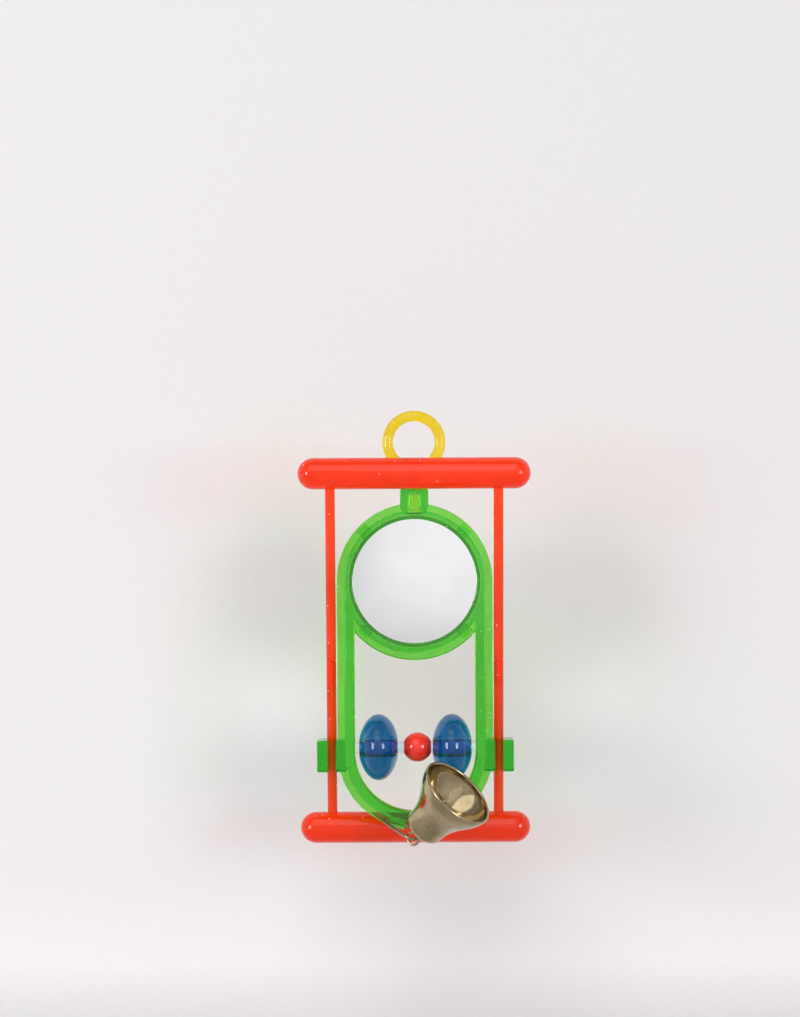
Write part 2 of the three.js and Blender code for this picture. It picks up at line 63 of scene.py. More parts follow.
LINK_WIRE, LINK_LENGTH, LINK_LEAD, LINK_TAIL = 0.9, 12.1, 7.0, 5.4
LINK_CORNER, LINK_TIP, LINK_DROOP = 1.0, 2.4, 15.5
BELL_MOUTH, BELL_HEIGHT, BELL_SHOULDER, BELL_FLAT, BELL_ROUND = 22.3, 17.4, 11.2, 4.2, 2.6
BELL_WALL, BELL_LIP, BELL_FLARE, BELL_RISE, BELL_FORWARD = 0.7, 0.9, 1.5, 47.5, 23.5
EYE_WIRE, EYE_BEND, EYE_SET, COLLAR, COLLAR_THICK = 0.8, 1.8, 0.4, 3.4, 0.6
INNER_WIRE, INNER_BEND, CLAPPER_BALL, CLAPPER_LENGTH = 0.7, 1.1, 4.4, 7.4

# Small roundings that only the visible surfaces have
RIM_ROUND, FLANGE_ROUND, BLOCK_ROUND, EDGE_ROUND = 0.45, 0.35, 0.5, 0.15
CLAW_ROUND, LUG_ROUND, ROOT_ROUND, LIP_ROUND = 0.1, 0.35, 0.2, 0.45

# Step by which smooth surfaces stay inside the corners of the plain solids and clear of their neighbours
SKIN = 0.02

# Places that follow from the sizes
hook_z = HOOK_WIRE / 2 - HOOK_BEND
rim_in = WINDOW / 2
rim_out = rim_in + RIM_WIDTH
loop_out = rim_out + FLANGE_WIDTH
bend_in = rad(HOOK_LEAVE - 270)
bend_out = -math.cos(rad(HOOK_LEAVE)) * HOOK_BEND / (1 + math.sin(bend_in))
stem_top = hook_z + HOOK_BEND * math.sin(rad(HOOK_LEAVE)) - bend_out * math.cos(bend_in)
socket_top = stem_top - STEM_LENGTH - FIT
socket_base = socket_top - SOCKET_RISE - FLANGE_WIDTH - RIM_WIDTH + OVERLAP + SEAT
mirror_z = socket_top - SOCKET_RISE - loop_out
lower_z = mirror_z - LOOP_DROP
axle_z = lower_z + AXLE_RISE
clip_z = lower_z - CLIP_DROP
leg_x = LEG_SPACING / 2
top_y, top_z = -(HOOK_WIRE / 2 + FIT + BAR / 2), socket_top + BAR_RISE
low_y = RIM_DEPTH / 2 + FIT + BAR / 2
lean = math.asin((low_y - top_y) / FRAME_HEIGHT)
bead_bore = AXLE + 2 * RUN
bead_hub = BEAD_LENGTH / 2 * math.sqrt(1 - ((bead_bore + 2 * BEAD_BEVEL) / BEAD) ** 2)
left_x = BALL_SHIFT - BALL_LENGTH / 2 - LEFT_PLAY - bead_hub
right_x = BALL_SHIFT + BALL_LENGTH / 2 + RIGHT_PLAY + bead_hub
mirror_front = LIP - RIM_DEPTH / 2 + SEAT
cover_front = mirror_front + MIRROR_THICK + SEAT
cover_back = cover_front + COVER_THICK + COVER_WALL
lug_along = np.array([math.cos(rad(LUG_ANGLE)), 0, -math.sin(rad(LUG_ANGLE))])
lug_out = np.array([-math.sin(rad(LUG_ANGLE)), 0, -math.cos(rad(LUG_ANGLE))])
lug_bore = LINK_WIRE + 2 * FIT
lug_size = lug_bore + 2 * LUG_WALL
lug_y = -(FLANGE_DEPTH / 2 + FIT + LINK_WIRE / 2)
lug_place = np.array([0, lug_y, lower_z]) + lug_out * (rim_out + lug_bore / 2 + SEAT)
link_out = lug_out * math.sin(rad(LINK_DROOP)) + np.array([0, -math.cos(rad(LINK_DROOP)), 0])
tip_half = math.atan2(LINK_LEAD + LINK_TAIL, LINK_LENGTH) / 2
tip_inset = LINK_TIP / math.sin(tip_half) - LINK_TIP + EYE_SET
eye_place = (lug_place + lug_along * (LINK_LEAD - tip_inset * math.sin(tip_half))
             + link_out * (LINK_LENGTH - tip_inset * math.cos(tip_half)))
bell_level = math.cos(rad(BELL_FORWARD))
bell_axis = np.array([bell_level * math.cos(rad(BELL_RISE)), -math.sin(rad(BELL_FORWARD)),
                      bell_level * math.sin(rad(BELL_RISE))])
swing_axis = np.cross(bell_axis, [0, 0, -1.0])
swing_axis /= np.linalg.norm(swing_axis)
crown = EYE_BEND + EYE_WIRE / 2 + COLLAR_THICK
inner_eye = crown + BELL_WALL + COLLAR_THICK + INNER_BEND + INNER_WIRE / 2

# Turns whose third column is the direction that a turned shape runs along
UPRIGHT = np.eye(3)
ALONG_X = np.array([[0, 1.0, 0], [0, 0, 1], [1, 0, 0]]).T
ALONG_Y = np.array([[0, 0, 1.0], [1, 0, 0], [0, 1, 0]]).T
ALONG_LUG = np.array([[0, 1.0, 0], -lug_out, lug_along]).T
ALONG_BELL = np.array([np.cross(swing_axis, bell_axis), swing_axis, bell_axis]).T
ALONG_SWING = np.array([bell_axis, np.cross(swing_axis, bell_axis), swing_axis]).T
ACROSS_SWING = np.array([swing_axis, bell_axis, np.cross(swing_axis, bell_axis)]).T
LEANING = np.array([[1, 0, 0],
                    [0, math.cos(lean), -math.sin(lean)],
                    [0, math.sin(lean), math.cos(lean)]])


# Meshes

def mesh_object(name, points, faces):
    """Object whose mesh holds points given in millimetres, doubles merged and faces turned outwards."""
    mesh = bpy.data.meshes.new(name)
    mesh.from_pydata((np.asarray(points) / 1000).tolist(), [], faces)
    work = bmesh.new()
    work.from_mesh(mesh)
    bmesh.ops.remove_doubles(work, verts=work.verts, dist=2e-7)
    bmesh.ops.recalc_face_normals(work, faces=work.faces)
    work.to_mesh(mesh)
    work.free()
    mesh.shade_smooth()
    piece = bpy.data.objects.new(name, mesh)
    bpy.context.scene.collection.objects.link(piece)
    return piece


def grid_faces(rows, columns, close_rows=False, close_columns=True):
    """Four-cornered faces between neighbours of a grid, joined up at the ends where asked."""
    row, column = np.meshgrid(np.arange(rows if close_rows else rows - 1),
                              np.arange(columns if close_columns else columns - 1), indexing="ij")
    row, column = row.ravel(), column.ravel()
    up, over = (row + 1) % rows, (column + 1) % columns
    corners = [row * columns + column, up * columns + column, up * columns + over, row * columns + over]
    return np.stack(corners, 1)


def set_in(points, axes, place):
    """Points turned by the axes, then moved to the place."""
    return np.asarray(points) @ np.asarray(axes, float).T + np.asarray(place, float)


def in_frame(place):
    """Place in the leaning red frame, counted from the middle of its top bar."""
    return LEANING @ np.asarray(place, float) + [0, top_y, top_z]


def turned_shape(profile, segments, axes=UPRIGHT, place=(0, 0, 0)):
    """Profile (radius, along) turned about the third axis: radius by cosine and sine, then along."""
    profile = np.asarray(profile, float)
    angle = np.linspace(0, 2 * np.pi, segments, endpoint=False)
    radius, along = profile[:, :1], profile[:, 1:]
    points = np.stack([radius * np.cos(angle), radius * np.sin(angle), along + 0 * angle], -1)
    return set_in(points.reshape(-1, 3), axes, place), grid_faces(len(profile), segments)


def wire_shape(path, radius, normal, segments, closed=False):
    """Circle carried along a flat path: its point plus radius by (side by cosine plus normal by sine).

    An open path's last two points may share a place, so its end is headed by the points before them."""
    path = np.asarray(path, float)
    radius = np.broadcast_to(np.asarray(radius, float), len(path))
    ahead = np.roll(path, -1, 0) - np.roll(path, 1, 0)
    if not closed:
        ahead[0], ahead[-1] = path[1] - path[0], path[-2] - path[-4]
    side = np.cross(ahead, normal)
    side /= np.linalg.norm(side, axis=1, keepdims=True)
    angle = np.linspace(0, 2 * np.pi, segments, endpoint=False)[:, None]
    ring = np.cos(angle) * side[:, None, :] + np.sin(angle) * np.asarray(normal, float)
    points = path[:, None, :] + radius[:, None, None] * ring
    return points.reshape(-1, 3), grid_faces(len(path), segments, close_rows=closed)


def ring_shape(bend, wire, axes, place, segments=72, sides=24):
    """Circle of the wire's radius turned about the third axis at the distance bend."""
    angle = np.linspace(0, 2 * np.pi, sides + 1)
    profile = np.column_stack([bend + wire / 2 * np.cos(angle), wire / 2 * np.sin(angle)])
    return turned_shape(profile, segments, axes, place)


def turned_piece(name, profile, segments, axes=UPRIGHT, place=(0, 0, 0)):
    """Object made of a profile (radius, along) turned about the third axis."""
    points, faces = turned_shape(profile, segments, axes, place)
    return mesh_object(name, points, faces.tolist())


def joined_piece(name, shapes):
    """One object out of several closed shells."""
    starts = np.cumsum([0] + [len(shape[0]) for shape in shapes])
    points = np.concatenate([shape[0] for shape in shapes])
    faces = np.concatenate([shape[1] + start for shape, start in zip(shapes, starts)])
    return mesh_object(name, points, faces.tolist())


def plain_rod(name, radius, start, end, segments=64, axes=UPRIGHT, place=(0, 0, 0)):
    """Straight line turned about the third axis from start to end, with flat ends."""
    profile = [[0, start], [radius, start], [radius, end], [0, end]]
    return turned_piece(name, profile, segments, axes, place)


def rounded_plate(name, outlines, depth, edge, steps=5):
    """Plate between flat outlines in X and Z, its walls a quarter circle of radius edge at both faces.

    outlines(inset) gives the outer loop and the holes drawn in by inset, with equally many points."""
    turn = np.linspace(0, np.pi / 2, steps)
    inset = edge * (1 - np.sin(np.concatenate([turn, turn[::-1]])))
    rise = edge * (1 - np.cos(turn))
    level = np.concatenate([rise - depth / 2, depth / 2 - rise[::-1]])
    layers = [outlines(i) for i in inset]
    points, faces, count = [], [], 0
    for k, loop in enumerate(layers[0]):
        points += [np.insert(layer[k], 1, y, axis=1) for layer, y in zip(layers, level)]
        faces += (grid_faces(len(level), len(loop)) + count).tolist()
        count += len(level) * len(loop)
    for layer, y in ((layers[0], level[0]), (layers[-1], level[-1])):
        fill = tessellate_polygon([np.insert(loop, 2, 0, axis=1).tolist() for loop in layer])
        points += [np.insert(loop, 1, y, axis=1) for loop in layer]
        faces += (np.array(fill) + count).tolist()
        count += sum(len(loop) for loop in layer)
    return mesh_object(name, np.concatenate(points), faces)


def rounded_block(name, half, edge, axes=UPRIGHT, place=(0, 0, 0), steps=4):
    """Box with round edges: each side's sign by (half size less edge), plus edge by a ball's point."""
    quarter = np.linspace(0, np.pi / 2, steps + 1)
    lift = np.concatenate([quarter - np.pi / 2, quarter])[:, None]
    around = np.concatenate([quarter + i * np.pi / 2 for i in range(4)])
    level = np.cos(lift)
    ball = np.stack([level * np.cos(around), level * np.sin(around), np.sin(lift) + 0 * around], -1)
    right = np.repeat([1, -1, -1, 1], steps + 1) + 0 * lift
    rear = np.repeat([1, 1, -1, -1], steps + 1) + 0 * lift
    upper = np.repeat([-1, 1], steps + 1)[:, None] + 0 * around
    points = edge * ball + np.stack([right, rear, upper], -1) * (np.asarray(half, float) - edge)
    rows, columns = points.shape[:2]
    faces = grid_faces(rows, columns).tolist()
    faces += [list(range(columns)), list(range((rows - 1) * columns, rows * columns))]
    return mesh_object(name, set_in(points.reshape(-1, 3), axes, place), faces)


def solid_of(base, joined=(), cut=()):
    """Base solid with the others joined to it and the cutters then taken away; the helpers are removed."""
    for kind, group in (("UNION", joined), ("DIFFERENCE", cut)):
        for other in group:
            step = base.modifiers.new("solid", "BOOLEAN")
            step.operation = kind
            step.solver = "MANIFOLD"
            step.object = other
    seen = base.evaluated_get(bpy.context.evaluated_depsgraph_get())
    rough = base.data
    base.data = bpy.data.meshes.new_from_object(seen)
    base.modifiers.clear()
    bpy.data.meshes.remove(rough)
    for other in (*joined, *cut):
        bpy.data.objects.remove(other)
    return base


def even_shading(piece, angle=34):
    """Smooth faces, crisp where neighbours meet at more than the angle, large faces kept flat."""
    piece.data.shade_smooth()
    piece.data.set_sharp_from_angle(angle=rad(angle))
    even = piece.modifiers.new("even", "WEIGHTED_NORMAL")
    even.keep_sharp = True
    return piece


# Hook

def head_profile():
    """Radius and height down the hook's end: stem, thin neck, and a snap head with a bevelled end."""
    shoulder, head_top = socket_top + FIT, socket_top - SOCKET_ROOF - FIT
    head_base = head_top - HEAD_LENGTH
    return np.array([[STEM / 2, shoulder + EDGE_ROUND],
                     [STEM / 2 - EDGE_ROUND, shoulder],
                     [NECK / 2, shoulder],
                     [NECK / 2, head_top],
                     [HEAD_SHOULDER / 2 - EDGE_ROUND, head_top],
                     [HEAD_SHOULDER / 2, head_top - EDGE_ROUND],
                     [HEAD / 2, head_base + HEAD_BEVEL],
                     [HEAD / 2 - HEAD_BEVEL, head_base],
                     [0, head_base]])


def hook_piece():
    """Wire along an arc, a reverse bend and a stem, with a half ball at the tip and steps at the head."""
    arc = np.radians(np.linspace(HOOK_TIP, HOOK_LEAVE, 97))
    eye = np.stack([HOOK_BEND * np.cos(arc), 0 * arc, hook_z + HOOK_BEND * np.sin(arc)], 1)
    heading = np.linspace(bend_in, -np.pi / 2, 25)[1:]
    bend_x, bend_z = -bend_out * (1 + np.sin(heading)), stem_top + bend_out * np.cos(heading)
    bend = np.stack([bend_x, 0 * heading, bend_z], 1)
    end = np.linspace(0, np.pi / 2, 9)[:-1]
    back = (eye[0] - eye[1]) / np.linalg.norm(eye[0] - eye[1])
    tip = eye[0] + back * (HOOK_WIRE / 2 * np.cos(end))[:, None]
    head = head_profile()
    stem = np.insert(np.zeros((len(head), 2)), 2, head[:, 1], axis=1)
    thick = HOOK_WIRE / 2 - SKIN
    wire = np.full(len(eye) + len(bend), thick)
    narrowing = np.linspace(thick, STEM / 2, 12)
    wire[-len(narrowing):] = narrowing
    path = np.concatenate([tip, eye, bend, stem])
    radius = np.concatenate([thick * np.sin(end), wire, head[:, 0]])
    points, faces = wire_shape(path, radius, [0, 1, 0], segments=56)
    return even_shading(mesh_object("hook_clear", points, faces.tolist()))


# Green loop

def arc_points(centre_z, radius, start, end, count, ends=True):
    """Points on a circle about X zero from one angle in degrees to another."""
    angle = np.radians(np.linspace(start, end, count, endpoint=ends))
    return np.column_stack([radius * np.cos(angle), centre_z + radius * np.sin(angle)])


def loop_outlines(ring_radius):
    """Outer loop with two round ends, the round mirror hole, and the arched window below it."""
    def outlines(inset):
        """The three loops, each a row of arcs, with the green drawn in by inset."""
        outer = np.concatenate([arc_points(mirror_z, ring_radius - inset, 0, 180, 97),
                                arc_points(lower_z, ring_radius - inset, 180, 360, 97)])
        hole = arc_points(mirror_z, rim_in + inset, 0, 360, 192, False)
        arch, side = ring_radius + inset, rim_in - inset
        reach = math.degrees(math.asin(side / arch))
        window = np.concatenate([arc_points(mirror_z, arch, 270 - reach, 270 + reach, 65),
                                 arc_points(lower_z, side, 360, 180, 97)])
        return [outer, hole, window]
    return outlines


def socket_outline(inset):
    """Upright block with small round shoulders and long round lower corners, as quarter ellipses."""
    half, top, base = SOCKET_WIDTH / 2 - inset, socket_top - inset, socket_base + inset
    turn = np.linspace(0, np.pi / 2, 12)
    falling, rising = 1 - np.sin(turn), 1 - np.cos(turn)
    shoulder = np.column_stack([half - SOCKET_SHOULDER * rising, top - SOCKET_SHOULDER * falling])
    lower = np.column_stack([half - SOCKET_CORNER * falling, base + SOCKET_TAPER * rising])
    right = np.concatenate([lower, shoulder])
    return [np.concatenate([right, right[::-1] * [-1, 1]])]


def socket_cuts():
    """Square room for the hook's head, round hole for its neck, and the opening at the rear."""
    room_top = socket_top - SOCKET_ROOF
    room_base = room_top - HEAD_LENGTH - 2 * FIT
    middle = (room_top + room_base) / 2
    room_half = [HEAD / 2 + FIT, HEAD / 2 + FIT, (room_top - room_base) / 2]
    room = rounded_block("room", room_half, EDGE_ROUND, place=(0, 0, middle))
    hole_base, hole_top = room_top - SOCKET_ROOF / 2, socket_top + SOCKET_ROOF / 2
    hole = plain_rod("neck", NECK / 2 + FIT, hole_base, hole_top, segments=56)
    rear_half = [SOCKET_MOUTH / 2, SOCKET_DEPTH / 2, (room_top - room_base - FIT) / 2]
    rear = rounded_block("rear", rear_half, EDGE_ROUND, place=(0, SOCKET_DEPTH / 2, middle))
    return [room, hole, rear]


def side_clip(side):
    """Round-edged block around a leg, and the seat and throat to cut from it along the leaning leg."""
    seat = LEG / 2 + SEAT
    inner, outer = rim_out - CLIP_ROOT, leg_x + seat + CLIP_WALL
    leg_y = top_y + (top_z - clip_z) * math.tan(lean)
    back = leg_y + seat + CLIP_BACK + CLIP_HEIGHT / 2 * math.tan(lean)
    front = -FLANGE_DEPTH / 2
    half = [(outer - inner) / 2, (back - front) / 2, CLIP_HEIGHT / 2]
    middle = (side * (outer + inner) / 2, (back + front) / 2, clip_z)
    block = rounded_block("clip", half, BLOCK_ROUND, place=middle)
    leg_place = in_frame([side * leg_x, 0, -(top_z - clip_z) / math.cos(lean)])
    bore = plain_rod("seat", seat, -CLIP_HEIGHT, CLIP_HEIGHT, segments=48, axes=LEANING, place=leg_place)
    throat_half = [CLIP_THROAT / 2, SOCKET_DEPTH, CLIP_HEIGHT]
    throat_place = leg_place + LEANING @ [0, -SOCKET_DEPTH, 0]
    throat = rounded_block("throat", throat_half, EDGE_ROUND, LEANING, throat_place)
    return block, [bore, throat]


def claw_blocks(gap):
    """Round-edged blocks on the diagonals behind the mirror, grown by a gap for their pockets."""
    reach = OVERLAP + CLAW_REACH + gap
    half = [CLAW_WIDTH / 2 + gap, CLAW_HEIGHT / 2 + gap, reach / 2]
    blocks = []
    for i in range(CLAWS):
        turn = 2 * math.pi * (i + 0.5) / CLAWS
        across, along = math.sin(turn), math.cos(turn)
        axes = np.array([[along, 0, across], [0, 1, 0], [-across, 0, along]])
        place = axes @ [0, 0, rim_in + reach / 2] + [0, cover_back - COVER_WALL / 2, mirror_z]
        blocks.append(rounded_block("claw", half, CLAW_ROUND, axes, place))
    return blocks


def lug_solids():
    """Round barrel in front of the flange with the root that carries it, and its lengthwise hole."""
    half, radius = LUG_LENGTH / 2, lug_size / 2
    turn = np.linspace(0, np.pi / 2, 6)
    end_radius, end_along = radius - LUG_ROUND * (1 - np.sin(turn)), -half + LUG_ROUND * (1 - np.cos(turn))
    end = np.column_stack([end_radius, end_along])
    profile = np.concatenate([[[0, -half]], end, end[::-1] * [1, -1], [[0, half]]])
    barrel = turned_piece("lug", profile, segments=56, axes=ALONG_LUG, place=lug_place)
    root_axes = np.array([lug_along, [0, 1, 0], -lug_out]).T
    root_half = [half, -lug_y / 2, (lug_size - LUG_WALL) / 2]
    root_place = lug_place + root_axes @ [0, -lug_y / 2, LUG_WALL / 2]
    root = rounded_block("root", root_half, ROOT_ROUND, root_axes, root_place)
    hole = plain_rod("lug_hole", lug_bore / 2, -LUG_LENGTH, LUG_LENGTH,
                     segments=32, axes=ALONG_LUG, place=lug_place)
    return [barrel, root], [hole]


def loop_piece():
    """Deep rim and thin flange joined with socket, clips and lug, less the pockets and holes."""
    rim = rounded_plate("loop_clear", loop_outlines(rim_out), RIM_DEPTH, RIM_ROUND)
    flange = rounded_plate("flange", loop_outlines(loop_out), FLANGE_DEPTH, FLANGE_ROUND)
    pocket_radius, pocket_front = rim_in + OVERLAP + SEAT, LIP - RIM_DEPTH / 2
    pocket = plain_rod("pocket", pocket_radius, pocket_front, RIM_DEPTH,
                       segments=192, axes=ALONG_Y, place=(0, 0, mirror_z))
    rim = solid_of(rim, [flange], [pocket, *claw_blocks(SEAT)])
    socket = rounded_plate("socket", socket_outline, SOCKET_DEPTH, BLOCK_ROUND)
    left_clip, left_cuts = side_clip(-1)
    right_clip, right_cuts = side_clip(1)
    lug, lug_cuts = lug_solids()
    rim = solid_of(rim, [socket, left_clip, right_clip, *lug],
                   [*socket_cuts(), *left_cuts, *right_cuts, *lug_cuts])
    return even_shading(rim)


# Mirror

def mirror_piece():
    """Flat disc with finely broken edges."""
    radius, back, edge = rim_in + OVERLAP, mirror_front + MIRROR_THICK, EDGE_ROUND
    profile = [[0, mirror_front], [radius - edge, mirror_front], [radius, mirror_front + edge],
               [radius, back - edge], [radius - edge, back], [0, back]]
    disc = turned_piece("mirror_silver", profile, segments=192, axes=ALONG_Y, place=(0, 0, mirror_z))
    return even_shading(disc)


def cover_piece():
    """Shallow dish with a round-edged wall, and the claws that reach through the rim."""
    radius, floor, edge = rim_in + OVERLAP, cover_front + COVER_THICK, EDGE_ROUND
    wall = radius - COVER_WALL
    profile = [[0, cover_front], [radius - edge, cover_front], [radius, cover_front + edge],
               [radius, cover_back - edge], [radius - edge, cover_back],
               [wall + edge, cover_back], [wall, cover_back - edge], [wall, floor], [0, floor]]
    dish = turned_piece("cover_clear", profile, segments=160, axes=ALONG_Y, place=(0, 0, mirror_z))
    inside = plain_rod("inside", wall, floor, floor + RIM_DEPTH,
                       segments=160, axes=ALONG_Y, place=(0, 0, mirror_z))
    return even_shading(solid_of(dish, claw_blocks(0), [inside]))


# Beads and axle

def bead_piece(name, x):
    """Half ellipse turned about the axle, with a bevelled bore through it."""
    bore = bead_bore / 2
    start = math.asin(2 * (bore + BEAD_BEVEL) / BEAD)
    angle = np.linspace(start, math.pi - start, 81)
    outside = np.column_stack([BEAD / 2 * np.sin(angle), -BEAD_LENGTH / 2 * np.cos(angle)])
    inside = np.array([[bore, bead_hub - BEAD_BEVEL], [bore, BEAD_BEVEL - bead_hub]])
    profile = np.concatenate([outside, inside, outside[:1]])
    return even_shading(turned_piece(name, profile, segments=128, axes=ALONG_X, place=(x, 0, axle_z)))


def ball_piece():
    """Half of a slightly long ellipse turned about the axle, with a bore through it."""
    start = math.asin((AXLE + SEAT) / BALL)
    angle = np.linspace(start, math.pi - start, 57)
    half = (BALL_LENGTH / 2 - SEAT) / math.cos(start)
    profile = np.column_stack([BALL / 2 * np.sin(angle), -half * np.cos(angle)])
    profile = np.concatenate([profile, profile[:1]])
    ball = turned_piece("ball_red", profile, segments=96, axes=ALONG_X, place=(BALL_SHIFT, 0, axle_z))
    return even_shading(ball)


def axle_piece():
    """Straight rod with broken ends, which stop at the loop's arms."""
    half, radius, edge = rim_in - SKIN, AXLE / 2, EDGE_ROUND
    profile = [[0, -half], [radius - edge, -half], [radius, -half + edge],
               [radius, half - edge], [radius - edge, half], [0, half]]
    rod = turned_piece("axle_clear", profile, segments=72, axes=ALONG_X, place=(0, 0, axle_z))
    return even_shading(rod)


# Red half frames

def bar_piece(name, drop):
    """Quarter circle, straight and quarter circle turned about the bar."""
    turn = np.linspace(0, np.pi / 2, 19)
    radius = BAR / 2 - SKIN
    end = np.column_stack([radius * np.sin(turn), radius * (1 - np.cos(turn)) - BAR_LENGTH / 2])
    profile = np.concatenate([end, end[::-1] * [1, -1]])
    return turned_piece(name, profile, segments=112, axes=LEANING @ ALONG_X, place=in_frame([0, 0, -drop]))


def leg_pieces(profile):
    """The same profile turned about the line of each leg."""
    places = [in_frame([side * leg_x, 0, 0]) for side in (-1, 1)]
    return [turned_piece("leg", profile, segments=56, axes=LEANING, place=place) for place in places]


def upper_frame_piece():
    """Bar with two legs that end in thinner spigots."""
    radius, spigot, edge = LEG / 2, SPIGOT / 2, EDGE_ROUND
    base, tip = -JOINT_DROP, -JOINT_DROP - SPIGOT_LENGTH
    legs = leg_pieces([[0, 0], [radius, 0], [radius, base + edge], [radius - edge, base],
                       [spigot, base], [spigot, tip + edge], [spigot - edge, tip], [0, tip]])
    return even_shading(solid_of(bar_piece("upper_red", 0), legs))


def lower_frame_piece():
    """Bar with two legs that end in sockets."""
    radius, hole, edge = LEG / 2, SPIGOT / 2 + SEAT, EDGE_ROUND
    base, top = -FRAME_HEIGHT, -JOINT_DROP - SEAT
    floor = top - SPIGOT_LENGTH - SEAT
    legs = leg_pieces([[0, base], [radius, base], [radius, top - edge], [radius - edge, top],
                       [hole, top], [hole, floor], [0, floor]])
    return even_shading(solid_of(bar_piece("lower_red", FRAME_HEIGHT), legs))


# Bell and its wires

def link_piece():
    """Wire along a closed flat path: three straight sides and an arc around each corner."""
    corners = np.array([[LINK_LEAD, 0], [LINK_LEAD, LINK_LENGTH], [-LINK_TAIL, 0]])
    flat = []
    for i, radius in enumerate((LINK_CORNER, LINK_TIP, LINK_CORNER)):
        back, on = corners[i - 1] - corners[i], corners[(i + 1) % 3] - corners[i]
        back, on = back / np.linalg.norm(back), on / np.linalg.norm(on)
        half = math.acos(back @ on) / 2
        middle = corners[i] + (back + on) / np.linalg.norm(back + on) * radius / math.sin(half)
        start = corners[i] + back * radius / math.tan(half) - middle
        turn = np.linspace(0, math.pi - 2 * half, 16)[:, None]
        flat.append(middle + start * np.cos(turn) + np.array([-start[1], start[0]]) * np.sin(turn))
    flat = np.concatenate(flat)
    path = lug_place + flat[:, :1] * lug_along + flat[:, 1:] * link_out
    normal = np.cross(lug_along, link_out)
    points, faces = wire_shape(path, LINK_WIRE / 2, normal, segments=24, closed=True)
    return mesh_object("link_wire", points, faces.tolist())


def bell_radius(share):
    """Bell's radius at a share of its height: half a cosine wave of the share to the power of the flare."""
    flare = (1 - np.cos(np.pi * share ** BELL_FLARE)) / 2
    return BELL_SHOULDER / 2 + (BELL_MOUTH - BELL_SHOULDER) / 2 * flare


def bell_curve(inset):
    """Crown as a quarter ellipse, then the flaring wall, drawn in by inset."""
    share = BELL_ROUND / BELL_HEIGHT
    turn = np.linspace(0, np.pi / 2, 18)
    crown_radius = BELL_FLAT / 2 + (bell_radius(share) - BELL_FLAT / 2 - inset) * np.sin(turn)
    crown_along = crown + inset + (BELL_ROUND - inset) * (1 - np.cos(turn))
    wall = np.linspace(share, 1, 72)[1:]
    return np.concatenate([np.column_stack([crown_radius, crown_along]),
                           np.column_stack([bell_radius(wall) - inset, crown + BELL_HEIGHT * wall])])


def bell_piece():
    """Outer curve, a rolled lip as half an ellipse, and the inner curve back to the crown's hole."""
    hole, mouth = EYE_WIRE / 2 + SEAT, crown + BELL_HEIGHT
    outside, inside = bell_curve(0), bell_curve(BELL_WALL)
    outside = outside[outside[:, 1] < mouth - LIP_ROUND]
    inside = inside[inside[:, 1] < mouth - BELL_LIP][::-1]
    lip_start = 0.1
    turn = np.linspace(lip_start, np.pi, 17)
    lip_radius = BELL_MOUTH / 2 - BELL_LIP / 2 * (1 - np.cos(turn))
    lip = np.column_stack([lip_radius, mouth - LIP_ROUND * (1 - np.sin(turn))])
    through = [[hole, crown + BELL_WALL], [hole, crown]]
    profile = np.concatenate([through[1:], outside, lip, inside, through])
    shell = turned_piece("bell_brass", profile, segments=176, axes=ALONG_BELL, place=eye_place)
    return even_shading(shell, angle=50)


def eye_piece():
    """Wire ring, two collars and a stem through the crown, and a small ring inside."""
    radius, thick, edge = COLLAR / 2, COLLAR_THICK, EDGE_ROUND
    low, reach = crown + BELL_WALL, 1.5 * COLLAR_THICK
    upper = [[0, crown - thick], [radius - edge, crown - thick], [radius, crown - thick + edge],
             [radius, crown - SEAT], [0, crown - SEAT]]
    lower = [[0, low + SEAT], [radius, low + SEAT], [radius, low + thick], [0, low + thick]]
    stem = [[0, crown - reach], [EYE_WIRE / 2, crown - reach],
            [EYE_WIRE / 2, low + reach], [0, low + reach]]
    shapes = [turned_shape(profile, segments=48, axes=ALONG_BELL, place=eye_place)
              for profile in (upper, lower, stem)]
    inner_place = eye_place + bell_axis * inner_eye
    shapes.append(ring_shape(EYE_BEND, EYE_WIRE, ALONG_SWING, eye_place))
    shapes.append(ring_shape(INNER_BEND, INNER_WIRE, ALONG_SWING, inner_place, segments=48, sides=16))
    return even_shading(joined_piece("eye_wire", shapes))


def clapper_piece():
    """Small wire ring, a straight wire and a ball."""
    ring_at, ball_at, wire = inner_eye + INNER_BEND, inner_eye + CLAPPER_LENGTH, INNER_WIRE / 2
    ring_place = eye_place + bell_axis * ring_at
    turn = np.linspace(0, np.pi, 41)
    ball = np.column_stack([CLAPPER_BALL / 2 * np.sin(turn), ball_at - CLAPPER_BALL / 2 * np.cos(turn)])
    rod = [[0, ring_at + INNER_BEND], [wire, ring_at + INNER_BEND], [wire, ball_at], [0, ball_at]]
    shapes = [ring_shape(INNER_BEND, INNER_WIRE, ACROSS_SWING, ring_place, segments=48, sides=16),
              turned_shape(rod, segments=24, axes=ALONG_BELL, place=eye_place),
              turned_shape(ball, segments=64, axes=ALONG_BELL, place=eye_place)]
    return even_shading(joined_piece("clapper_brass", shapes))


# Nodes

def new_group(name, inputs, outputs):
    """Node group with sockets given as (label, kind), and its inner ends."""
    group = bpy.data.node_groups.new(name, "ShaderNodeTree")
    for label, kind in inputs:
        group.interface.new_socket(label, in_out="INPUT", socket_type="NodeSocket" + kind)
    for label, kind in outputs:
        group.interface.new_socket(label, in_out="OUTPUT", socket_type="NodeSocket" + kind)
    return group, group.nodes.new("NodeGroupInput").outputs, group.nodes.new("NodeGroupOutput").inputs


